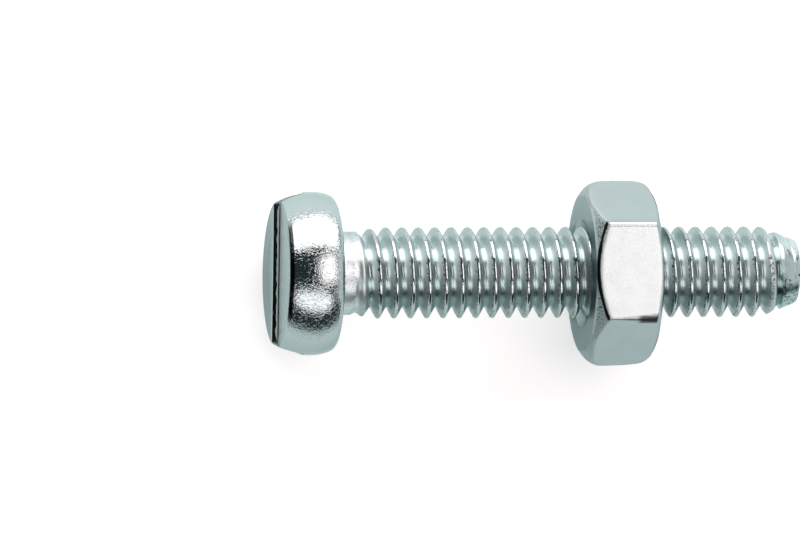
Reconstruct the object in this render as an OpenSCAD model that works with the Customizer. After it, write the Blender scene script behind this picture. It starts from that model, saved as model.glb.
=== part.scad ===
// Slotted button head machine screw, with a hexagon nut run onto its thread.
// The screw lies along X: its head is on the -X side, its bearing face is at x = 0 and its tip points to +X.
// It rests on one flat of the nut and on the rim of the head, so Z is up.

/* [Head] */
// Diameter of the head at its widest
head_d = 6.9; // [5.8:0.1:10]
// Height of the head, from its bearing face to the top of the crown
head_h = 2.52; // [2.4:0.02:4]
// Rise of the crown over the edge that surrounds it
crown_rise = 0.02; // [0.02:0.01:0.3]
// Distance from the bearing face to the widest place of the barrel-shaped side
widest_h = 1; // [0.9:0.05:1.2]
// Radius of the rounding between the crown and the side
crown_round = 0.12; // [0.1:0.02:0.5]
// Radius of the rounding between the side and the bearing face
bearing_round = 0.4; // [0.2:0.05:0.5]
// Lean of the side where it meets the rounding of the crown (degrees)
crown_lean = 29; // [20:1:40]
// Lean of the side where it meets the rounding of the bearing face (degrees)
seat_lean = 21; // [10:1:25]

/* [Slot] */
// Width of the slot
slot_w = 1.5; // [0.8:0.1:2]
// Depth of the slot below the top of the crown
slot_depth = 1.2; // [0.8:0.1:1.8]
// Turn of the slot round the screw, from the Y axis (degrees)
slot_turn = 3; // [-90:1:90]

/* [Shank] */
// Length from the bearing face to the tip
length = 19.8; // [16:0.1:40]
// Diameter of the plain neck under the head
neck_d = 3.5; // [3.4:0.05:3.7]
// Length of the plain neck
neck_l = 0.75; // [0.5:0.05:1.5]
// Radius of the fillet between the neck and the bearing face
neck_fillet = 0.2; // [0.18:0.02:0.3]
// Length of the chamfer at the tip
tip_l = 1.6; // [0.8:0.1:2.5]
// Diameter of the flat end of the tip
tip_d = 2.7; // [2:0.1:2.8]

/* [Thread] */
// Diameter over the thread's crests
thread_d = 3.86; // [3.8:0.02:3.94]
// Distance from one turn of the thread to the next
pitch = 0.7; // [0.5:0.05:0.8]
// Depth from crest to root
thread_depth = 0.48; // [0.25:0.01:0.5]
// Width of the flat on a crest
crest_w = 0.08; // [0.04:0.01:0.1]
// Width of the flat in a root
root_w = 0.08; // [0.04:0.01:0.1]
// Length over which the thread grows out of the neck
runout_l = 1; // [0.5:0.1:1.5]
// Where round the screw the helix starts (degrees)
helix_start = 330; // [0:5:355]

/* [Nut] */
// Width across the nut's flats
nut_s = 7; // [5.6:0.1:8]
// Thickness of the nut
nut_h = 2.9; // [2:0.1:5]
// Distance from the bearing face of the head to the near face of the nut
nut_x = 10.6; // [9.5:0.1:12]
// Diameter of the flat ring that the chamfers leave on each face
nut_face_d = 6.9; // [5.2:0.1:6.9]
// Slope of the chamfers on the corners (degrees)
nut_chamfer = 38; // [15:1:45]
// Diameter of the countersink at the mouth of the bore
sink_d = 4.65; // [4.4:0.05:4.9]
// Running clearance between the bore and the crests, measured on the radius
bore_gap = 0.06; // [0.03:0.01:0.1]

/* [Hidden] */
$fn = 96;
// Steps in one turn of the helix, and points on the thread's profile in one pitch
turn_steps = 24;
profile_steps = 4;
arc_steps = 8;
// The helix starts this much inside the neck, and its last step keeps this far from the end
bury = 0.06;
end_gap = 0.03;
// Room for a cutter to pass through a surface
through = 0.5;

head_r = head_d / 2;
neck_r = neck_d / 2;
tip_r = tip_d / 2;
crest_r = thread_d / 2;
root_r = crest_r - thread_depth;
crown_edge_h = head_h - crown_rise;
// The side is two arcs that meet at the widest place, one towards the crown and one towards the seat
crown_curve = (crown_edge_h - widest_h - crown_round * (1 - sin(crown_lean))) / sin(crown_lean);
seat_curve = (widest_h - bearing_round * (1 - sin(seat_lean))) / sin(seat_lean);
crown_r = head_r - crown_curve + (crown_curve - crown_round) * cos(crown_lean);
seat_r = head_r - seat_curve + (seat_curve - bearing_round) * cos(seat_lean);
crown_sphere_r = (crown_r * crown_r + crown_rise * crown_rise) / (2 * crown_rise);
nut_corner_r = nut_s / 2 / cos(30);
nut_face_r = nut_face_d / 2;
bore_r = crest_r + bore_gap;
sink_r = sink_d / 2;

// An arc as a list of points, with angles in degrees
function arc(centre, radius, from, to) =
    [for (k = [0:arc_steps])
        let (a = from + (to - from) * k / arc_steps)
        centre + radius * [cos(a), sin(a)]];

// The same without its first point, on which the arc before it ends
function next_arc(centre, radius, from, to) =
    [for (k = [1:arc_steps])
        let (a = from + (to - from) * k / arc_steps)
        centre + radius * [cos(a), sin(a)]];

// Half of the outline of the head and neck, as [radius, place along the axis]
function head_outline() = concat(
    [[0, neck_l], [neck_r, neck_l]],
    arc([neck_r + neck_fillet, neck_fillet], neck_fillet, 180, 270),
    arc([seat_r, -bearing_round], bearing_round, 90, seat_lean),
    next_arc([head_r - seat_curve, -widest_h], seat_curve, seat_lean, 0),
    next_arc([head_r - crown_curve, -widest_h], crown_curve, 0, -crown_lean),
    next_arc([crown_r, crown_round - crown_edge_h], crown_round, -crown_lean, -90),
    [for (k = [1:arc_steps])
        let (r = crown_r * (1 - k / arc_steps))
        [r, crown_sphere_r - head_h - sqrt(crown_sphere_r * crown_sphere_r - r * r)]]
);

module slot() {
    rotate([slot_turn, 0, 0])
        translate([-head_h - through, -head_r - through, -slot_w / 2])
            cube([slot_depth + through, head_d + 2 * through, slot_w]);
}

module head_and_neck() {
    difference() {
        rotate([0, 90, 0])
            rotate_extrude()
                polygon(head_outline());
        slot();
    }
}

// The helix is a grid: column i is a straight line along the screw at the angle of step i,
// and point m of a column is the m-th corner of the thread's profile, counted from the start.
helix_x = neck_l - 1.5 * pitch;
corners = [-root_w / 2, root_w / 2, (pitch - crest_w) / 2, (pitch + crest_w) / 2];
turns = ceil((length - helix_x) / pitch) + 2;
column_len = profile_steps * turns;

function is_crest(m) = m % profile_steps > 1;
function helix_place(i, m) =
    helix_x + (i / turn_steps + floor(m / profile_steps)) * pitch + corners[m % profile_steps];

// The thread grows out of the neck, follows the chamfer at the tip and is buried where the neck covers it
function grown_r(x, full_r) = neck_r + (full_r - neck_r) * min(1, (x - neck_l) / runout_l);
function root_grown_r(x) = neck_r + (root_r - neck_r) * min(1, 2 * (x - neck_l) / runout_l);
function chamfer_r(x) = tip_r + (crest_r - tip_r) * (length - x) / tip_l;
function thread_r(x, m) =
    x < neck_l ? neck_r - bury
    : min(chamfer_r(x), is_crest(m) ? grown_r(x, crest_r) : root_grown_r(x));

function column_point(i, m) =
    let (x = min(helix_place(i, m), length), r = x < length ? thread_r(x, m) : tip_r)
    let (a = helix_start + 360 * i / turn_steps)
    [x, r * cos(a), r * sin(a)];

// How many points of each column come before the end of the tip
column_last = [for (i = [0:turn_steps - 1])
    len([for (m = [0:column_len - 1]) if (helix_place(i, m) < length - end_gap) m])];

// Past the last column the grid goes on in the first one, one turn further along
function grid(i, m) =
    i == turn_steps ? grid(0, m + profile_steps)
    : i * column_len + min(m, column_last[i]);

module thread() {
    start = turn_steps * column_len;
    end = start + 1;
    points = concat(
        [for (i = [0:turn_steps - 1], m = [0:column_len - 1])
            column_point(i, m < column_last[i] ? m : column_len - 1)],
        [[helix_x, 0, 0], [length, 0, 0]]
    );
    side = [for (i = [0:turn_steps - 1], m = [0:column_len - profile_steps - 2])
        let (a = grid(i, m), b = grid(i, m + 1), c = grid(i + 1, m + 1), d = grid(i + 1, m))
        each [[a, b, c], [a, c, d]]];
    start_cap = concat(
        [for (i = [0:turn_steps - 1]) [grid(i, 0), grid(i + 1, 0), start]],
        [for (m = [0:profile_steps - 1]) [grid(0, m + 1), grid(0, m), start]]
    );
    end_cap = [for (i = [0:turn_steps - 1])
        [grid((i + 1) % turn_steps, column_len), grid(i, column_len), end]];
    whole_side = [for (f = side) if (f[0] != f[1] && f[1] != f[2] && f[2] != f[0]) f];
    polyhedron(points, concat(whole_side, start_cap, end_cap));
}

module slotted_screw() {
    color("lightsteelblue")
        union() {
            head_and_neck();
            thread();
        }
}

// What one chamfer leaves of a nut's blank, with the chamfered face at z = 0
module nut_chamfer_cone() {
    cylinder(h = nut_h, r1 = nut_face_r, r2 = nut_face_r + nut_h / tan(nut_chamfer));
}

module nut_bore() {
    sink_h = sink_r - bore_r;
    translate([0, 0, -through])
        cylinder(h = nut_h + 2 * through, r = bore_r);
    for (side = [0, 1])
        translate([0, 0, side * nut_h])
            mirror([0, 0, side])
                translate([0, 0, -through])
                    cylinder(h = sink_h + through, r1 = sink_r + through, r2 = bore_r);
}

module hex_nut() {
    color("silver")
        translate([nut_x, 0, 0])
            rotate([0, 90, 0])
                difference() {
                    intersection() {
                        rotate([0, 0, 30])
                            cylinder(h = nut_h, r = nut_corner_r, $fn = 6);
                        nut_chamfer_cone();
                        translate([0, 0, nut_h])
                            mirror([0, 0, 1])
                                nut_chamfer_cone();
                    }
                    nut_bore();
                }
}

slotted_screw();
hex_nut();
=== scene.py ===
import math

import bmesh
import bpy
from mathutils import Matrix, Vector, noise


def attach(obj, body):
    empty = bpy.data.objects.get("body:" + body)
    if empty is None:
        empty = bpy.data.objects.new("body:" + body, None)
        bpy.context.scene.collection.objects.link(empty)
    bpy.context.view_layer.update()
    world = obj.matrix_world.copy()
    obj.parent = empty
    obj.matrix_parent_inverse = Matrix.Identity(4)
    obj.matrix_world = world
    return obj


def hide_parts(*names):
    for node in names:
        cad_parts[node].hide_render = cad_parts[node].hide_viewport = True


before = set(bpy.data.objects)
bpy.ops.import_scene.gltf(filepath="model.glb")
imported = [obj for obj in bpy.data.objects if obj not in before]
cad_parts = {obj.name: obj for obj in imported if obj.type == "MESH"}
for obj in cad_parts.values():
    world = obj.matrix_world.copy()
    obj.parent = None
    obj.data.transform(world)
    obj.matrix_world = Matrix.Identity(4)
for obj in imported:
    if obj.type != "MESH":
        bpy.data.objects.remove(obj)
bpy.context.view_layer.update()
print("frame loaded:", sorted(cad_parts))

millimetre = 0.001            # sizes in the dictionaries are in millimetres


cameraSettings = {
    "lean": 9.74,             # degrees off the vertical, towards the head
    "side": -2.0,             # degrees off the vertical, across the screw
    "roll": 0.22,             # degrees that the tip stands up in the picture
    "distance": 335.0,
    "frameWidth": 33.68,      # what the picture takes in at the screw's axis
    "lookAt": (2.82, -0.022, 0.0),
    "sensor": 36.0,
    "clip": (10.0, 10000.0),
}


def addCamera(s):
    lean, side = math.radians(s["lean"]), math.radians(s["side"])
    back = Vector((-math.sin(lean), math.sin(side), math.cos(lean) * math.cos(side))).normalized()
    level = back.cross(Vector((1.0, 0.0, 0.0))).normalized()   # keeps the screw level in the picture
    up = Matrix.Rotation(math.radians(-s["roll"]), 3, back) @ level
    right = up.cross(back)
    data = bpy.data.cameras.new("copyStandCamera")
    data.sensor_width = s["sensor"]
    data.lens = s["sensor"] * s["distance"] / s["frameWidth"]
    data.clip_start, data.clip_end = [reach * millimetre for reach in s["clip"]]
    camera = bpy.data.objects.new("copyStandCamera", data)
    bpy.context.scene.collection.objects.link(camera)
    place = (Vector(s["lookAt"]) + back * s["distance"]) * millimetre
    camera.matrix_world = Matrix.Translation(place) @ Matrix((right, up, back)).transposed().to_4x4()
    bpy.context.scene.camera = camera


addCamera(cameraSettings)
bpy.context.scene.view_settings.view_transform = "Standard"
print("camera placed")


def arcPoints(centreX, centreR, radius, start, end, steps):
    # an arc of the outline as (x, r), where 0 degrees faces outwards and 90 faces the tip
    points = []
    for k in range(steps + 1):
        a = math.radians(start + (end - start) * k / steps)
        points.append((centreX + radius * math.sin(a), centreR + radius * math.cos(a)))
    return points


def ringOf(points, x, r, angles):
    # one ring of vertices round the X axis, and the numbers of its vertices
    first = len(points)
    for a in angles:
        points.append((x, r * math.cos(a), r * math.sin(a)))
    return list(range(first, len(points)))


def bridgeRings(faces, near, far):
    count = len(near)
    for i in range(count):
        j = (i + 1) % count
        faces.append((near[i], far[i], far[j], near[j]))


def closeRing(points, faces, ring, x, flip):
    centre = len(points)
    points.append((x, 0.0, 0.0))
    count = len(ring)
    for i in range(count):
        j = (i + 1) % count
        faces.append((centre, ring[j], ring[i]) if flip else (centre, ring[i], ring[j]))


helixSettings = {
    "snap": 0.012,            # a point of the grid this close to an end is the end ring's own
    "spareTurns": 2,          # before the start and past the end, where all points are the rings' own
}


def helixSkin(points, faces, angles, offsets, pitch, startX, endX, phase, radiusAt, startRing, endRing, flip):
    # a helical grid between two rings: column i is a line along the screw,
    # and its points keep to the thread's profile
    snap, spare = helixSettings["snap"], helixSettings["spareTurns"]
    count = len(angles)
    perTurn = len(offsets)
    firstTurn = math.floor((startX - phase) / pitch) - spare
    turns = math.ceil((endX - startX) / pitch) + 2 * spare + 1
    columns = []
    for i, a in enumerate(angles):
        column = []
        for m in range(turns * perTurn):
            turn, step = divmod(m, perTurn)
            x = phase + (firstTurn + turn + a / (2 * math.pi)) * pitch + offsets[step]
            if x <= startX + snap:
                column.append(startRing[i])
            elif x >= endX - snap:
                column.append(endRing[i])
            else:
                r = radiusAt(x, a, offsets[step])
                column.append(len(points))
                points.append((x, r * math.cos(a), r * math.sin(a)))
        columns.append(column)
    # after the last column comes the first one again, one turn further on
    wrapped = columns[0][perTurn:] + [endRing[0]] * perTurn
    for i in range(count):
        here = columns[i]
        there = columns[i + 1] if i + 1 < count else wrapped
        for m in range(turns * perTurn - 1):
            corners = []
            for v in (here[m], here[m + 1], there[m + 1], there[m]):
                if v not in corners:
                    corners.append(v)
            if len(corners) > 2:
                faces.append(tuple(reversed(corners)) if flip else tuple(corners))


def meshPiece(name, points, faces):
    mesh = bpy.data.meshes.new(name)
    mesh.from_pydata([Vector(p) * millimetre for p in points], [], faces)
    mesh.validate()
    piece = bpy.data.objects.new(name, mesh)
    bpy.context.scene.collection.objects.link(piece)
    return piece


def faceOutwards(piece):
    shape = bmesh.new()
    shape.from_mesh(piece.data)
    bmesh.ops.recalc_face_normals(shape, faces=shape.faces)
    if shape.calc_volume(signed=True) < 0:
        bmesh.ops.reverse_faces(shape, faces=shape.faces)
    shape.to_mesh(piece.data)
    shape.free()


def applyModifiers(piece):
    bpy.context.view_layer.update()
    finished = bpy.data.meshes.new_from_object(piece.evaluated_get(bpy.context.evaluated_depsgraph_get()))
    finished.name = piece.name
    piece.modifiers.clear()
    piece.data = finished


def shadeByAngle(piece, degrees):
    limit = math.radians(degrees)
    shape = bmesh.new()
    shape.from_mesh(piece.data)
    for face in shape.faces:
        face.smooth = True
    for edge in shape.edges:
        edge.smooth = len(edge.link_faces) == 2 and edge.calc_face_angle(0.0) < limit
    shape.to_mesh(piece.data)
    shape.free()


screwSettings = {
    "columns": 144,           # vertices round the screw
    "crownTop": 2.465,        # from the bearing face to the middle of the crown
    "crownRound": 0.12,
    "crownEdge": -88.0,       # degrees at which the crown's edge starts, nearly facing along the screw
    "crownSkew": (0.0155, 0.034),     # how far the forged crown leans, in x for each mm of y and z
    "crownDrop": 0.01,        # how far its middle lies towards -Y
    "skewDepth": 1.6,         # the lean and the drop grow over this distance from the bearing face
    "barrelX": -0.98,         # where the head is widest
    "barrelR": 3.445,
    "crownCurve": 3.0,        # radius of the side on either half of the barrel
    "seatCurve": 2.0,
    "crownSide": -28.5,       # degrees that the side leans at its two ends
    "seatSide": 21.5,
    "seatRings": (0.3, 0.2),  # how far two rings of the bearing face lie from its outer and its inner edge
    "neckR": 1.755,
    "neckEnd": 0.35,          # x where the helical grid takes over
    "neckFillet": 0.20,
    "pitch": 0.70,
    "crestR": 1.93,
    "crestRound": 0.09,
    "rootR": 1.45,
    "rootFlat": 0.02,         # half of the flat in a root
    "rootStep": 0.03,         # from the middle of a root to the profile's next point
    "crestAtY": 0.096,        # x of a crest on the +Y side
    "crestRunOut": (0.80, 1.05),      # where the crests start to grow out of the neck, and over what length
    "rootRunOut": (0.68, 0.46),
    "tipX": 19.8,
    "tipStart": 18.25,        # where the cone of the tip meets the crests
    "tipR": 1.35,
    "tipRound": 0.10,
    "tipWiden": 0.03,         # the cone is this much wider than tipR where its rounding starts
    "tipBlend": 0.02,         # the thread bends into the cone over this much of the radius
    "crestWear": 0.006,
    "wearScale": 5.0,         # waves for each mm
    "wearGrows": 0.3,         # length over which the wear starts
    "smoothBelow": 32,        # degrees
}
flankAngle = math.radians(30)         # half of the angle between a metric thread's flanks
flankSlope = math.sqrt(3)             # how much a flank drops for each mm along the screw


def headOutline(s):
    # the head and the fillet of the neck as (x, r), from the crown's middle to the neck
    crownSide, seatSide = s["crownSide"], s["seatSide"]
    widest, crownCurve, seatCurve = s["barrelR"], s["crownCurve"], s["seatCurve"]
    barrel = arcPoints(s["barrelX"], widest - crownCurve, crownCurve, crownSide, 0.0, steps=12)
    barrel += arcPoints(s["barrelX"], widest - seatCurve, seatCurve, 0.0, seatSide, steps=8)[1:]
    # the crown's rounding starts where the barrel ends
    sideX, sideR = barrel[0]
    a = math.radians(crownSide)
    roundX = sideX - s["crownRound"] * math.sin(a)
    roundR = sideR - s["crownRound"] * math.cos(a)
    rounding = arcPoints(roundX, roundR, s["crownRound"], s["crownEdge"], crownSide, steps=10)
    edgeX, edgeR = rounding[0]
    crown = []
    crownSteps = 16
    for k in range(1, crownSteps + 1):
        t = k / (crownSteps + 1)
        x = -s["crownTop"] + (edgeX + s["crownTop"]) * t * t
        crown.append((x, edgeR * t))
    # the rounding on the bearing side ends flat on x = 0
    seatX, seatR = barrel[-1]
    b = math.radians(seatSide)
    seatRound = -seatX / (1.0 - math.sin(b))
    bearing = arcPoints(-seatRound, seatR - seatRound * math.cos(b), seatRound, seatSide, 90.0, steps=12)
    neck, fillet = s["neckR"], s["neckFillet"]
    fromOuter, fromInner = s["seatRings"]
    under = [(0.0, bearing[-1][1] - fromOuter), (0.0, neck + fillet + fromInner)]
    blend = [(fillet - fillet * math.cos(math.radians(w)), neck + fillet - fillet * math.sin(math.radians(w)))
             for w in range(0, 91, 15)]
    return crown + rounding[:-1] + barrel + bearing[1:] + under + blend


def crestOffsets(s):
    # places along the axis of the profile's points, in one pitch round a crest, with the crest in the middle
    reach = s["crestRound"] * math.cos(flankAngle)
    half = s["pitch"] / 2
    leans = (-60, -40, -20, 0, 20, 40, 60)
    crest = [reach * math.sin(math.radians(w)) / math.sin(math.radians(leans[-1])) for w in leans]
    flank = (reach + half) / 2
    return [-half, -half + s["rootStep"], -flank] + crest + [flank, half - s["rootStep"]]


def rolledRadius(s, crestR, rootR, offset):
    # radius of the thread's profile at a distance from the crest
    r = s["crestRound"]
    half = s["pitch"] / 2
    d = abs(offset)
    reach = r * math.cos(flankAngle)
    full = s["crestR"] - s["rootR"]
    if d < reach:
        drop = r - math.sqrt(r * r - d * d)
    else:
        slope = (full - r / 2) / (half - s["rootFlat"] - reach)
        drop = min(full, r / 2 + (d - reach) * slope)
    return crestR - (crestR - rootR) * drop / full


def rise(value, start, length):
    return min(1.0, max(0.0, (value - start) / length))


def screwRadius(s, x, a, offset):
    crest = s["neckR"] + (s["crestR"] - s["neckR"]) * rise(x, *s["crestRunOut"])
    root = s["neckR"] + (s["rootR"] - s["neckR"]) * rise(x, *s["rootRunOut"])
    r = rolledRadius(s, crest, root, offset)
    cone = s["tipR"] + (s["crestR"] - s["tipR"]) * (s["tipX"] - x) / (s["tipX"] - s["tipStart"])
    blend = s["tipBlend"]
    if x > s["tipStart"] and r > cone - blend:
        r = cone - blend * math.exp((cone - r) / blend - 1.0) if r < cone + 10 * blend else cone
    scale = s["wearScale"]
    place = Vector((x * scale, r * math.cos(a) * scale, r * math.sin(a) * scale))
    return r + s["crestWear"] * noise.noise(place) * rise(x, s["neckEnd"], s["wearGrows"])


def skewOf(s, x, y, z):
    # how far the crown's lean moves a point of the head along X
    skewY, skewZ = s["crownSkew"]
    return (skewY * y + skewZ * z) * rise(-x, 0.0, s["skewDepth"])


def skewHead(s, points):
    for i, (x, y, z) in enumerate(points):
        if x < 0.0:
            points[i] = (x + skewOf(s, x, y, z), y - s["crownDrop"] * rise(-x, 0.0, s["skewDepth"]), z)


def buildScrew(s):
    points, faces = [], []
    angles = [2 * math.pi * i / s["columns"] for i in range(s["columns"])]
    rings = [ringOf(points, x, r, angles) for x, r in headOutline(s)]
    closeRing(points, faces, rings[0], -s["crownTop"], True)
    for near, far in zip(rings, rings[1:]):
        bridgeRings(faces, near, far)
    start = ringOf(points, s["neckEnd"], s["neckR"], angles)
    bridgeRings(faces, rings[-1], start)
    tipRound = s["tipRound"]
    coneEnd, coneR = s["tipX"] - tipRound, s["tipR"] + s["tipWiden"]
    last = ringOf(points, coneEnd, coneR, angles)
    helixSkin(points, faces, angles, crestOffsets(s), s["pitch"], s["neckEnd"], coneEnd, s["crestAtY"],
              lambda x, a, offset: screwRadius(s, x, a, offset), start, last, False)
    for w in (30, 60, 90):
        a = math.radians(w)
        x = coneEnd + tipRound * math.sin(a)
        ring = ringOf(points, x, coneR - tipRound + tipRound * math.cos(a), angles)
        bridgeRings(faces, last, ring)
        last = ring
    closeRing(points, faces, last, s["tipX"], False)
    skewHead(s, points)
    screw = meshPiece("rolledScrew", points, faces)
    faceOutwards(screw)
    return screw


slotSettings = {
    "steps": 120,             # sections along the slot
    "farWall": 0.75,          # distance of each wall from the middle
    "nearWall": 0.68,
    "floorX": -1.30,
    "turn": 3.0,              # degrees round the screw, from +Y
    "taper": 0.30,            # how far the +Z wall leans in by the time it meets the floor
    "pinch": 0.28,            # how far the +Z wall was dragged in where the slot leaves the head
    "pinchRunOut": (2.8, 0.6),        # where the pinch starts, and over what length
    "edgeBreak": 0.03,        # size of the broken edge along the slot
    "floorFillet": 0.08,
    "chatter": 0.010,         # height of the cutter's marks on the floor
    "waver": 0.012,           # how far the walls wander
    "waverScale": 1.7,        # waves for each mm
    "leastDepth": 0.2,        # of the walls where the slot leaves the head
    "cutterReach": 3.9,       # half of the cutter's length
    "cutterTop": -4.2,        # x of its back
    "cutterFlare": 1.2,       # how much wider its back is on either side
    "cutterLift": 0.35,       # it goes straight up over the crown by this much
    "cutterClear": 0.5,       # and spreads by this much on the far side
    "ridgeHeight": 0.092,     # the ridge that the cutter pushed up along one edge
    "ridgeWidth": 0.05,
    "ridgeReach": 2.93,
    "ridgeFade": 0.3,         # length over which it dies out at each end
    "ridgeRagged": 0.5,       # how much its height varies
    "ridgeScale": 3.1,        # waves for each mm
    "ridgeLeast": 0.004,
    "ridgeSunk": 0.13,        # how deep it goes into the head
}


def crownX(outline, radius):
    # x of the head's surface at a radius, on the crown side
    lastX, lastR = -screwSettings["crownTop"], 0.0
    for x, r in outline:
        if r >= radius:
            share = (radius - lastR) / max(1e-6, r - lastR)
            return lastX + (x - lastX) * share
        lastX, lastR = x, r
        if x > screwSettings["barrelX"]:
            break
    return 0.0


def sweptPiece(name, sections, turn):
    points, faces, rings = [], [], []
    for section in sections:
        first = len(points)
        points.extend(section)
        rings.append(list(range(first, len(points))))
    for near, far in zip(rings, rings[1:]):
        bridgeRings(faces, near, far)
    faces.append(tuple(rings[0]))
    faces.append(tuple(reversed(rings[-1])))
    turned = Matrix.Rotation(math.radians(turn), 3, "X")
    piece = meshPiece(name, [turned @ Vector(p) for p in points], faces)
    faceOutwards(piece)
    return piece


def chatterAt(t):
    # uneven waves along the slot, of which no two are alike
    return math.sin(8.3 * t + 1.4 * math.sin(2.1 * t)) + 0.6 * math.sin(15.1 * t + 0.7)


def waverAt(s, t, row):
    return s["waver"] * noise.noise(Vector((t * s["waverScale"], row, 0.0)))


def buildSlotCutter(s, outline):
    edge, fillet = s["edgeBreak"], s["floorFillet"]
    inner = fillet * 0.3      # the middle of a rounded corner lies this far in from it
    top, flare, lift = s["cutterTop"], s["cutterFlare"], s["cutterLift"]
    sections = []
    for k in range(s["steps"] + 1):
        t = -s["cutterReach"] + 2 * s["cutterReach"] * k / s["steps"]
        floorX = s["floorX"] + s["chatter"] * chatterAt(t)
        left = s["farWall"] + waverAt(s, t, 3.0)
        right = s["nearWall"] + waverAt(s, t, 9.0)
        right -= s["pinch"] * rise(abs(t), *s["pinchRunOut"])
        foot = right - s["taper"]
        mouthX = min(crownX(outline, math.hypot(t, s["farWall"])), floorX - s["leastDepth"])
        farTop = mouthX + skewOf(screwSettings, mouthX, t, -s["farWall"])
        nearTop = mouthX + skewOf(screwSettings, mouthX, t, s["nearWall"])
        section = [
            (top, -left - edge - flare), (farTop - lift, -left - edge * 3 - s["cutterClear"]),
            (farTop, -left - edge * 3), (farTop + edge * 0.8, -left - edge), (farTop + edge * 2.2, -left),
            (floorX - fillet, -left), (floorX - inner, -left + inner), (floorX, -left + fillet),
            (floorX, foot - fillet), (floorX - inner, foot - inner), (floorX - fillet, foot),
            (nearTop + edge, right), (nearTop, right + edge), (nearTop - lift, right + edge + lift),
            (top, right + edge + flare),
        ]
        sections.append([(x, t, z) for x, z in section])
    return sweptPiece("slotCutter", sections, s["turn"])


def buildSlotRidge(s, outline):
    wall, width, reach, sunk = s["nearWall"], s["ridgeWidth"], s["ridgeReach"], s["ridgeSunk"]
    sections = []
    for k in range(s["steps"] + 1):
        t = reach * (2 * k / s["steps"] - 1)
        fade = min(1.0, (reach - abs(t)) / s["ridgeFade"])
        ragged = 1.0 + s["ridgeRagged"] * noise.noise(Vector((t * s["ridgeScale"], 0.0, 5.0)))
        top = (s["ridgeHeight"] * ragged) * fade + s["ridgeLeast"]
        shoulder = top * 0.94
        base = crownX(outline, math.hypot(t, wall + width))
        base += skewOf(screwSettings, base, t, wall)
        # a blunt profile, from its root in the slot's wall over its top to its root in the crown
        section = [
            (base + sunk, wall - 0.02), (base, wall + 0.004), (base - shoulder, wall + 0.010),
            (base - top, wall + 0.022), (base - top * 0.99, wall + width * 0.85),
            (base - shoulder, wall + width + 0.002), (base + 0.01, wall + width), (base + sunk, wall + width),
        ]
        sections.append([(x, t, z) for x, z in section])
    return sweptPiece("slotRidge", sections, s["turn"])


def combine(piece, operation, other):
    change = piece.modifiers.new("slot", "BOOLEAN")
    change.operation = operation
    change.solver = "EXACT"
    change.object = other
    applyModifiers(piece)
    bpy.data.objects.remove(other)


screw = buildScrew(screwSettings)
outline = headOutline(screwSettings)
combine(screw, "DIFFERENCE", buildSlotCutter(slotSettings, outline))
combine(screw, "UNION", buildSlotRidge(slotSettings, outline))
shadeByAngle(screw, screwSettings["smoothBelow"])
print("screw:", len(screw.data.polygons), "faces")


nutSettings = {
    "acrossFlats": 7.0,
    "turn": 0.7,              # degrees round the screw
    "drop": 0.035,            # it hangs by this much in the clearance of its thread
    "nearX": 10.60,
    "farX": 13.47,
    "nearFaceR": 3.35,        # where the near face's chamfer starts
    "nearChamfer": 36.0,
    "farFaceR": 3.44,
    "farChamfer": 24.0,
    "faceBend": 0.03,         # half of the bend between a face and its chamfer
    "faceRing": 0.25,         # a ring of the face lies this far inside the chamfer
    "flatRing": 0.25,         # and one of the flats this far from it
    "sinkR": 2.32,
    "sinkLip": 0.012,         # size of the broken edge of the countersink
    "majorR": 1.99,
    "minorR": 1.62,
    "flankRoom": 0.05,
    "edgeRound": 0.11,
    "rimWidth": 0.007,        # radians from the edge of a rubbed-off strip to the column beside it
    # how far the corners are rubbed off: depth at places along the nut, for corners counted from +Y
    "rubbedCorners": {
        0: [(10.75, 0.47), (10.87, 0.40), (10.99, 0.31), (11.09, 0.24), (11.19, 0.185), (11.31, 0.16),
            (12.2, 0.14), (12.9, 0.165), (13.07, 0.21), (13.21, 0.28), (13.31, 0.40)],
        2: [(11.5, 0.022), (13.2, 0.105)],
        3: [(10.75, 0.47), (10.87, 0.40), (10.99, 0.30), (11.09, 0.22), (11.19, 0.155), (11.31, 0.12),
            (12.3, 0.14), (12.85, 0.185), (13.07, 0.23), (13.21, 0.33), (13.31, 0.45)],
    },
    "plainRub": [(12.0, 0.022)],
    "smoothBelow": 50,        # degrees
    "faceWeight": 80,         # how much the large faces rule the shading
}


def nutColumns():
    # four columns at each corner follow the edges of its rubbed-off strip, and the flats have plain ones
    columns = []
    for corner in range(6):
        middle = 60.0 * corner
        columns += [(corner, middle, kind) for kind in ("before", "start", "end", "after")]
        columns += [(None, middle + step, "plain") for step in range(15, 46, 3)]
    return columns


def cornerDepth(s, corner, x):
    table = s["rubbedCorners"].get(corner, s["plainRub"])
    depth = table[0][1]
    for (fromX, fromDepth), (toX, toDepth) in zip(table, table[1:]):
        depth += (toDepth - fromDepth) * rise(x, fromX, toX - fromX)
    return depth


def columnAngle(s, column, x):
    corner, middle, kind = column
    if kind == "plain":
        return math.radians(middle)
    cornerR = s["acrossFlats"] / 2 / math.cos(math.radians(30))
    depth = cornerDepth(s, corner, x)
    halfStrip = depth * math.tan(math.radians(60))
    strip = math.atan2(halfStrip, cornerR - depth)
    rim = s["rimWidth"]
    turn = {"before": -strip - rim, "start": -strip, "end": strip, "after": strip + rim}[kind]
    return math.radians(middle) + turn


def hexR(s, angle):
    # radius of the plain hexagon at an angle, with flats on +Z and -Z
    fromFlat = angle % math.radians(60) - math.radians(30)
    return s["acrossFlats"] / 2 / math.cos(fromFlat)


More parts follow.
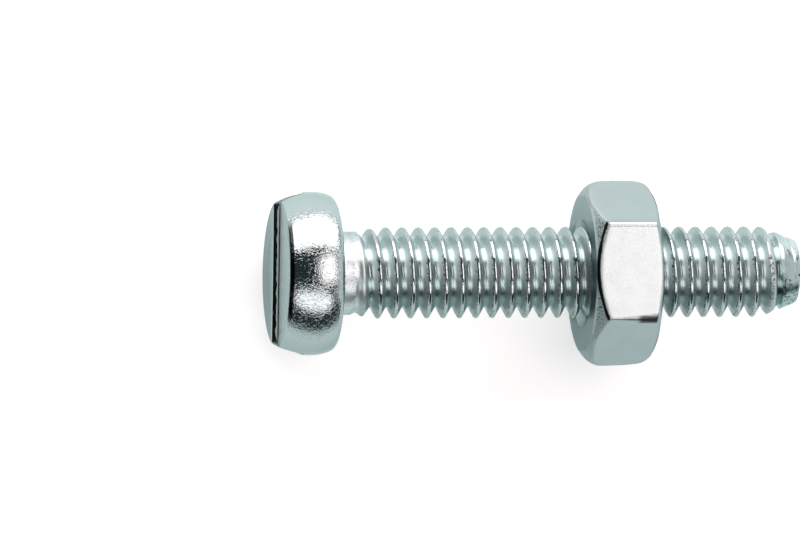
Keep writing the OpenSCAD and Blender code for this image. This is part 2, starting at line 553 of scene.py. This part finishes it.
def sidePlaces(s, faceX, inward, faceR, chamfer):
    # the rings of one side of the nut, from its countersink to its flats, with inward 1 on the near side
    # and -1 on the far one: each takes the radius h of the hexagon at a column and gives the point's x and r
    slope = math.tan(math.radians(chamfer))
    edge, lip, bend = s["edgeRound"], s["sinkLip"], s["faceBend"]

    def cone(r):
        return faceX + inward * max(0.0, r - faceR) * slope

    def rounded(h, t):
        # the rounded edge between the chamfer and the flat, from t = 0 to t = 1
        x = cone(h) * (1 - t * t) - inward * slope * edge * (1 - t) ** 2 + (cone(h) + inward * edge) * t * t
        return x, h - edge * (1 - t) ** 2

    places = [
        lambda h: (faceX + inward * lip, s["sinkR"] - lip),
        lambda h: (faceX, s["sinkR"] + 0.02),
        lambda h: (faceX, faceR - s["faceRing"]),
        lambda h: (faceX, faceR - bend),
        lambda h: (cone(faceR + bend), faceR + bend),
        lambda h: (cone((faceR + h) / 2), (faceR + h) / 2),
    ]
    places += [lambda h, t=t: rounded(h, t) for t in (0.0, 0.25, 0.5, 0.75, 1.0)]
    places.append(lambda h: (cone(h) + inward * s["flatRing"], h))
    return places


def nutOuter(s, points, faces, columns):
    near = sidePlaces(s, s["nearX"], 1, s["nearFaceR"], s["nearChamfer"])
    far = sidePlaces(s, s["farX"], -1, s["farFaceR"], s["farChamfer"])
    between = [lambda h, share=k / 8: (near[-1](h)[0] * (1 - share) + far[-1](h)[0] * share, h)
               for k in range(1, 8)]
    rings = []
    for place in near + between + far[::-1]:
        ring = []
        for column in columns:
            x = s["nearX"] + 1.5              # a first guess
            for _ in range(3):                # the column's angle depends on x, and x on its radius
                a = columnAngle(s, column, x)
                x, r = place(hexR(s, a))
            ring.append(len(points))
            points.append((x, r * math.cos(a), r * math.sin(a)))
        rings.append(ring)
    for ring, following in zip(rings, rings[1:]):
        bridgeRings(faces, ring, following)
    return rings[0], rings[-1]


def veeR(s):
    # where the flanks of the nut's thread would meet
    return screwSettings["crestR"] + screwSettings["crestRound"] + s["flankRoom"]


def nutBoreRadius(s, x, offset):
    thread = max(s["minorR"], min(s["majorR"], veeR(s) - abs(offset) * flankSlope))
    nearSink = s["sinkR"] - (x - s["nearX"])
    farSink = s["sinkR"] - (s["farX"] - x)
    return max(thread, nearSink, farSink)


def buildNut(s):
    points, faces = [], []
    columns = nutColumns()
    nearRing, farRing = nutOuter(s, points, faces, columns)
    middle = (s["nearX"] + s["farX"]) / 2
    angles = [columnAngle(s, column, middle) for column in columns]
    pitch = screwSettings["pitch"]
    flat = (veeR(s) - s["minorR"]) / flankSlope
    peak = (veeR(s) - s["majorR"]) / flankSlope
    offsets = [-pitch / 2, -flat, -(flat + peak) / 2, -peak, 0.0, peak, (flat + peak) / 2, flat]
    helixSkin(points, faces, angles, offsets, pitch, s["nearX"] + s["sinkLip"], s["farX"] - s["sinkLip"],
              screwSettings["crestAtY"], lambda x, a, offset: nutBoreRadius(s, x, offset),
              nearRing, farRing, True)
    turned = Matrix.Rotation(math.radians(s["turn"]), 3, "X")
    nut = meshPiece("hexagonNut", [turned @ Vector(p) - Vector((0.0, s["drop"], 0.0)) for p in points], faces)
    faceOutwards(nut)
    return nut


def squareShading(piece, weight):
    weighted = piece.modifiers.new("flatSides", "WEIGHTED_NORMAL")
    weighted.mode = "FACE_AREA"
    weighted.weight = weight
    weighted.keep_sharp = True
    applyModifiers(piece)


nut = buildNut(nutSettings)
shadeByAngle(nut, nutSettings["smoothBelow"])
squareShading(nut, nutSettings["faceWeight"])
print("nut:", len(nut.data.polygons), "faces")


class Wire:
    # an output socket; arithmetic on it adds Math nodes, and node() adds any other node
    def __init__(self, tree, socket=None):
        self.tree = tree
        self.socket = socket

    def node(self, kind, settings=None, sockets=None, output=0):
        made = self.tree.nodes.new(kind)
        for name, value in (settings or {}).items():
            setattr(made, name, value)
        for name, value in (sockets or {}).items():
            if isinstance(value, Wire):
                self.tree.links.new(value.socket, made.inputs[name])
            else:
                made.inputs[name].default_value = value
        return Wire(self.tree, made.outputs[output] if len(made.outputs) else None)

    def maths(self, operation, *values):
        return self.node("ShaderNodeMath", {"operation": operation}, dict(enumerate(values)))

    def __add__(self, other):
        return self.maths("ADD", self, other)

    def __radd__(self, other):
        return self.maths("ADD", other, self)

    def __sub__(self, other):
        return self.maths("SUBTRACT", self, other)

    def __rsub__(self, other):
        return self.maths("SUBTRACT", other, self)

    def __mul__(self, other):
        return self.maths("MULTIPLY", self, other)

    def __rmul__(self, other):
        return self.maths("MULTIPLY", other, self)

    def __abs__(self):
        return self.maths("ABSOLUTE", self)


def above(value, low, high):
    # 0 below low, 1 above high, smooth between
    return value.node("ShaderNodeMapRange", {"interpolation_type": "SMOOTHSTEP"},
                      {"Value": value, "From Min": low, "From Max": high, "To Min": 0.0, "To Max": 1.0})


def below(value, low, high):
    return 1 - above(value, low, high)


def within(value, low, high, fallFrom, fallTo):
    # a band: 0 outside it and 1 inside, with an edge on either side
    return above(value, low, high) * below(value, fallFrom, fallTo)


def broken(mask, holes, share):
    # a mask that a share of the holes' pattern opens up
    return mask * ((1 - share) + holes * share)


def grainAt(point, size, detail=2.0, roughness=0.5, distortion=0.0):
    # noise whose blobs are about size mm across, 0 to 1
    return point.node("ShaderNodeTexNoise", {"noise_dimensions": "3D"},
                      {"Vector": point, "Scale": 1.0 / size, "Detail": detail, "Roughness": roughness,
                       "Distortion": distortion})


def placeOn(wire):
    # the point in millimetres, its x, y and z, and its distance from the axis
    point = wire.node("ShaderNodeVectorMath", {"operation": "SCALE"},
                      {"Vector": wire.node("ShaderNodeTexCoord", output="Object"), "Scale": 1.0 / millimetre})
    along, sideways, height = [wire.node("ShaderNodeSeparateXYZ", None, {"Vector": point}, axis)
                               for axis in "XYZ"]
    crossways = wire.node("ShaderNodeVectorMath", {"operation": "MULTIPLY"}, {0: point, 1: (0.0, 1.0, 1.0)})
    radius = wire.node("ShaderNodeVectorMath", {"operation": "LENGTH"}, {0: crossways}, "Value")
    return point, along, sideways, height, radius


def mixColours(mask, first, second):
    return mask.node("ShaderNodeMix", {"data_type": "RGBA"}, {0: mask, 6: first, 7: second}, 2)


def layTones(colour, layers):
    # each layer is a mask, how much of its tone covers what lies under it, and the tone's name
    for mask, share, tone in layers:
        colour = mixColours(mask * share, colour, platingTones[tone])
    return colour


def newMaterial(name):
    material = bpy.data.materials.new(name)
    material.use_nodes = True
    material.node_tree.nodes.clear()
    return material, Wire(material.node_tree)


def finishMaterial(wire, surface):
    wire.node("ShaderNodeOutputMaterial", None, {"Surface": surface})


def platedSurface(wire, colour, roughness, height, grazing):
    bump = wire.node("ShaderNodeBump", None,
                     {"Strength": 1.0, "Distance": millimetre, "Height": height}, "Normal")
    surface = wire.node("ShaderNodeBsdfPrincipled", None, {
        "Base Color": colour, "Metallic": 1.0, "Roughness": roughness, "Specular Tint": grazing,
        "Normal": bump}, "BSDF")
    finishMaterial(wire, surface)


platingTones = {
    "bright": (0.328, 0.420, 0.420, 1.0),
    "pale": (0.400, 0.490, 0.490, 1.0),       # painted light on the +Y side of the head and of the nut
    # also painted shade on the -Y side of the head and of the nut
    "dull": (0.256, 0.338, 0.338, 1.0),
    "thread": (0.400, 0.495, 0.495, 1.0),
    "root": (0.553, 0.650, 0.650, 1.0),
    "collar": (0.500, 0.650, 0.650, 1.0),     # the plain neck
    "chamfered": (0.205, 0.320, 0.320, 1.0),  # the tip and the nut's corners
    # painted highlight on the ridge along the slot
    "paintedRidgeHighlight": (0.480, 0.580, 0.580, 1.0),
    "shaded": (0.140, 0.190, 0.190, 1.0),     # low on the crown and the thread, and on the nut's near face
    # specks and marks, and painted shade on the slot's walls and in the crease by the ridge, and painted dark
    # reflection beside the crests
    "speckAndPaintedShade": (0.030, 0.040, 0.040, 1.0),
    # near black: rings, a line and a corner on the nut, and painted dark reflection along edges of the head
    # and the nut
    "blackMarkAndPaintedReflection": (0.006, 0.008, 0.008, 1.0),
}

# a pair of numbers is where a soft edge starts and ends, and four are the two edges of a band
screwFinish = {
    "grazing": (0.68, 0.79, 0.79, 1.0),       # tint where the surface is seen nearly edge-on
    # roughness of each stretch of the screw
    "crown": 0.24,
    "headSide": 0.06,
    "neck": 0.36,
    "flanks": 0.40,
    "roots": 0.25,
    "crests": 0.09,
    "tip": 0.20,
    # what is added to it
    "slotExitRough": 0.35,
    "ridgeFootRough": 0.25,
    "ridgeRough": 0.5,
    "grainRough": 0.06,
    # heights in mm of what the light catches on
    "crinkleHeight": 0.0138,
    "wrinkleHeight": 0.0025,
    "crownGrain": 0.004,
    "neckGrain": 0.007,
    "threadGrain": 0.003,
    "tipGrain": 0.006,
    "ringDepth": 0.02,
    # the grains, and how much of them shows
    "cloud": {"size": 0.9, "detail": 3.0},
    "clouded": (0.45, 0.75),
    "tipClouds": (0.52, 0.58),
    "fine": {"size": 0.06, "detail": 3.0, "roughness": 0.6},
    "crinkle": {"size": 0.12, "detail": 2.5, "distortion": 1.4},
    "wrinkle": {"size": 0.060, "roughness": 0.6, "distortion": 1.0},
    "speckGrain": {"size": 0.055, "detail": 1.0},
    "specks": (0.60, 0.66),
    "blotGrain": {"size": 0.11, "roughness": 0.6},
    "blots": (0.50, 0.60),
    # places along the screw
    "slotFloor": (-1.40, -1.32),
    "neckStart": (0.0, 0.1),
    "collarLine": 0.19,       # a dark blotchy line round the neck, near the end of its fillet
    "collarLineEdge": (0.015, 0.05),
    "runOut": 0.60,           # the middle of the specked stretch where the thread starts
    "runOutEdge": (0.06, 0.22),
    "threadStart": (0.8, 1.1),
    "tipStart": (18.5, 19.1),
    # distances from the axis
    "root": (1.50, 1.68),
    "besideCrest": (1.79, 1.82, 1.885, 1.90),
    "crest": (1.86, 1.90),
    "forgedRing": 1.85,       # the die's mark on the crown
    "forgedRingEdge": (0.03, 0.11),
    "slotExit": (2.95, 3.1),
    # depths below the crown
    "headEdge": (0.02, 0.09),
    "slotMouth": (0.01, 0.03),
    "ridgeTop": (-0.040, -0.032),
    "creaseDepth": (-0.036, -0.028, 0.03, 0.06),
    "edgeLine": (0.03, 0.06, 0.17, 0.23),
    # distances from the middle of the slot
    "farWall": (-0.80, -0.76),
    "farLip": (-0.90, -0.86, -0.76, -0.74),
    "ringHalf": (-0.8, -0.6),
    # distances from its near wall
    "wallFace": (-0.09, -0.05),
    "nearWall": (0.02, 0.03),
    # distances from the outer foot of the ridge
    "crease": (-0.02, -0.01, 0.06, 0.14),
    "ridge": (-0.035, -0.025, 0.02, 0.03),
    "ridgeFoot": (0.0, 0.02, 0.3, 0.6),
    # places across the screw, from -Y to +Y
    "paintedShadeSide": (-3.0, -1.6),
    "threadShade": (-1.1, -0.7),
    "tipShade": (0.4, 1.2),
    # where the painted dark reflection beside the crests fades out towards +Y
    "crestWear": (0.5, 0.8),
    "crestDarkLineLoss": 0.8,     # how much of the painted dark reflection beside the crests is gone on the +Y side
    "paintedLightSide": (1.2, 2.8),
    # heights, from -Z to +Z
    "crownShade": (-3.2, 3.2),
    "crownShadeLoss": 0.78,   # how much of the crown's shade is gone at its top
    "edgeLineTop": (2.15, 2.6),
}


def slotPlace(point, turn):
    # how far a point lies from the middle of the slot, towards its +Z wall
    a = math.radians(turn)
    return point.node("ShaderNodeVectorMath", {"operation": "DOT_PRODUCT"},
                      {0: point, 1: (0.0, -math.sin(a), math.cos(a))}, "Value")


def screwMaterial(s, slot, shape):
    material, wire = newMaterial("screwPlating")
    point, along, sideways, height, radius = placeOn(wire)
    across = slotPlace(point, slot["turn"])
    fromWall = across - slot["nearWall"]
    fromFoot = fromWall - slot["ridgeWidth"]
    skewY, skewZ = shape["crownSkew"]
    depth = along + shape["crownTop"] - sideways * skewY - height * skewZ       # below the crown

    onSide = above(depth, *s["headEdge"])
    onCrown = 1 - onSide
    onNeck = above(along, *s["neckStart"])
    onHeadSide = onSide * (1 - onNeck)
    onThread = above(along, *s["threadStart"])
    onPlainNeck = onNeck * (1 - onThread)
    onCrest = onThread * above(radius, *s["crest"])
    inRoot = onThread * below(radius, *s["root"])
    onTip = above(along, *s["tipStart"])

    inSlot = above(depth, *s["slotMouth"]) * below(along, *s["slotFloor"])
    inSlot = inSlot * above(across, *s["farWall"]) * below(fromWall, *s["nearWall"])
    atExit = inSlot * above(radius, *s["slotExit"])
    onWall = (inSlot - atExit) * above(abs(across) - slot["nearWall"], *s["wallFace"])
    farLip = within(across, *s["farLip"])
    crease = within(fromFoot, *s["crease"]) * within(depth, *s["creaseDepth"])
    onRidge = within(fromFoot, *s["ridge"]) * below(depth, *s["ridgeTop"])
    ridgeFoot = onCrown * within(fromFoot, *s["ridgeFoot"])
    edgeLine = within(depth, *s["edgeLine"]) * above(height, *s["edgeLineTop"])

    cloud = grainAt(point, **s["cloud"])
    fine = grainAt(point, **s["fine"])
    crinkle = grainAt(point, **s["crinkle"])
    wrinkle = grainAt(point, **s["wrinkle"])
    specks = above(grainAt(point, **s["speckGrain"]), *s["specks"])
    blots = above(grainAt(point, **s["blotGrain"]), *s["blots"])

    crownShade = onCrown * (1 - above(height, *s["crownShade"]) * s["crownShadeLoss"]) * (1 - farLip)
    neckMarks = below(abs(along - s["collarLine"]), *s["collarLineEdge"]) * blots
    neckMarks = neckMarks + below(abs(along - s["runOut"]), *s["runOutEdge"]) * specks * 0.9
    # painted dark reflection: dark lines beside the crests, broken up by blots, fading out towards +Y
    besideCrest = onThread * within(radius, *s["besideCrest"]) * blots
    besideCrest = besideCrest * (1 - above(sideways, *s["crestWear"]) * s["crestDarkLineLoss"])
    tipWear = blots * onTip * above(cloud, *s["tipClouds"])
    colour = mixColours(above(cloud, *s["clouded"]) * 0.4, platingTones["bright"], platingTones["dull"])
    colour = layTones(colour, [
        (onNeck, 1.0, "thread"),
        (inRoot, 0.8, "root"),
        (onPlainNeck, 0.45, "collar"),
        # painted light: the +Y side of the head is made lighter
        (onHeadSide * above(sideways, *s["paintedLightSide"]), 0.8, "pale"),
        # painted shade: the -Y side of the head is made darker
        (onHeadSide * below(sideways, *s["paintedShadeSide"]), 0.4, "dull"),
        (crownShade, 1.0, "shaded"),
        (onThread * below(sideways, *s["threadShade"]), 0.3, "shaded"),
        # painted shade: the slot's walls are made nearly black, short of where the slot leaves the head
        (onWall, 1.0, "speckAndPaintedShade"),
        # painted shade: a dark line in the crease at the ridge's outer foot, broken up by blots
        (broken(crease, blots, 0.2), 1.0, "speckAndPaintedShade"),
        # painted highlight: the ridge's top is made lighter
        (onRidge, 1.0, "paintedRidgeHighlight"),
        # painted dark reflection: a black band on the head's side just past the crown's edge, on its +Z part
        (broken(edgeLine, blots, 0.06), 1.0, "blackMarkAndPaintedReflection"),
        (onPlainNeck * (blots * 0.15 + neckMarks * 0.7), 1.0, "speckAndPaintedShade"),
        (onTip * below(sideways, *s["tipShade"]), 0.75, "chamfered"),
        # painted dark reflection beside the crests, with specks on the crests and marks on the tip
        (besideCrest * 0.9 + specks * onCrest * 0.7 + tipWear * 0.9, 1.0, "speckAndPaintedShade"),
    ])

    roughness = (s["crown"] + onSide * (s["headSide"] - s["crown"]) + onNeck * (s["neck"] - s["headSide"])
                 + onThread * (s["flanks"] - s["neck"]) + onCrest * (s["crests"] - s["flanks"])
                 + inRoot * (s["roots"] - s["flanks"]) + onTip * (s["tip"] - s["flanks"]) * (1 - onCrest))
    roughness = (roughness + atExit * s["slotExitRough"] + ridgeFoot * s["ridgeFootRough"]
                 + onRidge * s["ridgeRough"] + (fine - 0.5) * s["grainRough"])
    # the die's ring shows on the -Z half of the crown
    ring = below(abs(radius - s["forgedRing"]), *s["forgedRingEdge"]) * below(across, *s["ringHalf"])
    bumps = (onHeadSide * (crinkle * s["crinkleHeight"] + wrinkle * s["wrinkleHeight"])
             + onCrown * (fine * s["crownGrain"] - ring * (0.5 + fine) * s["ringDepth"])
             + fine * (onPlainNeck * s["neckGrain"] + onThread * s["threadGrain"] + onTip * s["tipGrain"]))
    platedSurface(wire, colour, roughness, bumps, s["grazing"])
    return material


nutFinish = {
    "grazing": (0.57, 0.66, 0.66, 1.0),
    "roughness": 0.30,
    "grainRough": 0.16,
    "softEdgeRough": 0.30,
    # heights in mm
    "fineHeight": 0.004,
    "mottleHeight": 0.004,
    "dentHeight": 0.003,
    "chamferGrain": 0.012,
    # the grains, and how much of them shows
    "cloud": {"size": 0.7, "detail": 3.0},
    "clouded": (0.4, 0.75),
    "fine": {"size": 0.06, "detail": 3.0, "roughness": 0.6},
    "fineShown": (0.50, 0.62),
    "mottle": {"size": 0.12, "detail": 3.0, "roughness": 0.65},
    "mottled": (0.5, 0.72),
    "dents": {"size": 0.30},
    "speckGrain": {"size": 0.075},
    "specks": (0.50, 0.58),
    # distances past the near chamfer, along the nut
    "chamfer": (0.02, 0.10),
    "softEdge": (0.06, 0.14),
    "darkEdge": (0.03, 0.05),
    "lineStart": (0.05, 0.12),
    # distances from the near face
    "nearFace": (0.004, 0.02),
    # distances from the axis
    "corners": (3.38, 3.50),
    # each scratched ring's distance outside the countersink, its edge and its strength
    "rings": [(0.04, (0.01, 0.035), 1.0), (0.25, (0.01, 0.03), 0.6)],
    # heights, from -Z to +Z
    "softEdgeTop": (0.2, 1.0),
    "facing": (1.3, 2.7),
    "cornerTop": (3.16, 3.25),
    "frontFace": (3.33, 3.38),
    "lineTop": (3.40, 3.45),
    # places across the nut, from -Y to +Y
    "paintedShadeSide": (-2.15, -1.95),
    "cornerSide": (-1.99, -1.93),
    "line": 1.80,             # under the upper edge of the front flat
    "lineEdge": (0.010, 0.035),
    "paintedLightSide": (1.95, 2.15),
    # place along the screw of the dark corner at the lower right of the front flat
    "corner": (12.25, 12.55, 13.15, 13.2),
}


def nutMaterial(s, shape):
    material, wire = newMaterial("nutPlating")
    point, along, sideways, height, radius = placeOn(wire)
    slope = math.tan(math.radians(shape["nearChamfer"]))
    fromFace = along - shape["nearX"]
    past = fromFace - (radius - shape["nearFaceR"]) * slope       # beyond the near chamfer

    atCorner = above(radius, *s["corners"])
    onChamfer = below(past, *s["chamfer"]) * atCorner * above(height, *s["facing"])
    softEdge = below(past, *s["softEdge"]) * atCorner * above(height, *s["softEdgeTop"])
    # painted dark reflection: a black band on the front flat along its edge with the near chamfer
    darkEdge = below(past, *s["darkEdge"]) * above(height, *s["frontFace"])
    onNear = below(fromFace, *s["nearFace"])
    rings = sum(below(abs(radius - (shape["sinkR"] + reach)), *edge) * strength
                for reach, edge, strength in s["rings"])

    cloud = grainAt(point, **s["cloud"])
    fine = grainAt(point, **s["fine"])
    mottle = grainAt(point, **s["mottle"])
    dents = grainAt(point, **s["dents"])
    specks = above(grainAt(point, **s["speckGrain"]), *s["specks"])

    # the front flat has a dark line under its upper edge and a dark corner at its lower right
    line = above(height, *s["lineTop"]) * below(abs(sideways - s["line"]), *s["lineEdge"])
    line = line * above(past, *s["lineStart"]) * (1 - specks)
    corner = within(along, *s["corner"]) * below(sideways, *s["cornerSide"]) * above(height, *s["cornerTop"])
    colour = mixColours(above(cloud, *s["clouded"]) * 0.35, platingTones["bright"], platingTones["dull"])
    colour = layTones(colour, [
        (above(mottle, *s["mottled"]), 0.3, "dull"),
        (broken(onNear, rings, 0.14), 1.0, "shaded"),
        (rings * onNear, 0.5, "blackMarkAndPaintedReflection"),
        (above(fine, *s["fineShown"]), 0.14, "dull"),
        (onChamfer, 1.0, "thread"),
        (onChamfer, 0.6, "chamfered"),
        (specks * onChamfer, 0.85, "speckAndPaintedShade"),
        # painted light: the +Y flat of the nut is made lighter
        (above(sideways, *s["paintedLightSide"]), 0.5, "pale"),
        # painted shade: the -Y flat of the nut is made darker
        (below(sideways, *s["paintedShadeSide"]), 0.45, "dull"),
        # painted dark reflection along the front flat's edge with the near chamfer, with the dark line and
        # the dark corner
        (darkEdge + line * 0.6 + corner * 0.8, 1.0, "blackMarkAndPaintedReflection"),
    ])

    roughness = s["roughness"] + (fine - 0.5) * s["grainRough"] + softEdge * s["softEdgeRough"]
    bumps = (fine * s["fineHeight"] + mottle * s["mottleHeight"] + dents * s["dentHeight"]
             + fine * onChamfer * s["chamferGrain"])
    platedSurface(wire, colour, roughness, bumps, s["grazing"])
    return material


screw.data.materials.clear()
screw.data.materials.append(screwMaterial(screwFinish, slotSettings, screwSettings))
nut.data.materials.clear()
nut.data.materials.append(nutMaterial(nutFinish, nutSettings))
print("plating done")


tableSettings = {
    "top": -3.53,
    "half": 1500.0,
    "colour": (0.555, 0.632, 0.632, 1.0),
    "roughness": 0.9,
    "glow": 0.47,             # keeps the shadows pale
}


def buildTable(s):
    half, top = s["half"], s["top"]
    corners = [(-half, -half, top), (half, -half, top), (half, half, top), (-half, half, top)]
    table = meshPiece("paleTable", corners, [(0, 1, 2, 3)])
    material, wire = newMaterial("paleTable")
    surface = wire.node("ShaderNodeBsdfPrincipled", None, {
        "Base Color": s["colour"], "Roughness": s["roughness"], "Specular IOR Level": 0.0,
        "Emission Strength": s["glow"]}, "BSDF")
    finishMaterial(wire, surface)
    table.data.materials.append(material)
    return table


buildTable(tableSettings)

# each lamp is a soft box: its place and its two sides in mm, and how bright it looks
lampSettings = {
    "sideBox": {"at": (6.0, 263.0, 143.0), "size": (560.0, 244.0), "shape": "RECTANGLE", "shine": 5.4,
                "tint": (1.0, 0.80, 0.80)},
    "topBox": {"at": (110.0, 22.0, 290.0), "size": (215.0, 240.0), "shape": "RECTANGLE", "shine": 3.45,
               "tint": (1.0, 0.765, 0.765)},
    "lowBox": {"at": (-20.0, -200.0, 222.0), "size": (410.0, 150.0), "shape": "ELLIPSE", "shine": 3.1,
               "tint": (1.0, 0.82, 0.82)},
    "tipCard": {"at": (300.0, 0.0, 120.0), "size": (420.0, 230.0), "shape": "RECTANGLE", "shine": 1.28,
                "tint": (1.0, 0.89, 0.89)},
}
lampsFace = (6.0, 0.0, 0.0)   # the place that all of them are turned to


def addLamp(name, s):
    width, height = [side * millimetre for side in s["size"]]
    data = bpy.data.lights.new(name, "AREA")
    data.shape = s["shape"]
    data.size = width
    data.size_y = height
    face = width * height * (math.pi / 4 if s["shape"] == "ELLIPSE" else 1.0)
    data.color = s["tint"]
    data.energy = s["shine"] * math.pi * face
    lamp = bpy.data.objects.new(name, data)
    bpy.context.scene.collection.objects.link(lamp)
    lamp.location = Vector(s["at"]) * millimetre
    lamp.rotation_euler = (Vector(lampsFace) * millimetre - lamp.location).to_track_quat("-Z", "Y").to_euler()


for name, s in lampSettings.items():
    addLamp(name, s)

worldSettings = {
    "colour": (0.045, 0.058, 0.058, 1.0),
    "strength": 1.0,
}


def addWorld(s):
    world = bpy.data.worlds.new("dimStudio")
    world.use_nodes = True
    background = world.node_tree.nodes["Background"]
    background.inputs["Color"].default_value = s["colour"]
    background.inputs["Strength"].default_value = s["strength"]
    bpy.context.scene.world = world


addWorld(worldSettings)
print("table and lamps placed")


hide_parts("slotted_screw")
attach(screw, "screw")
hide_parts("hex_nut")
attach(nut, "nut")
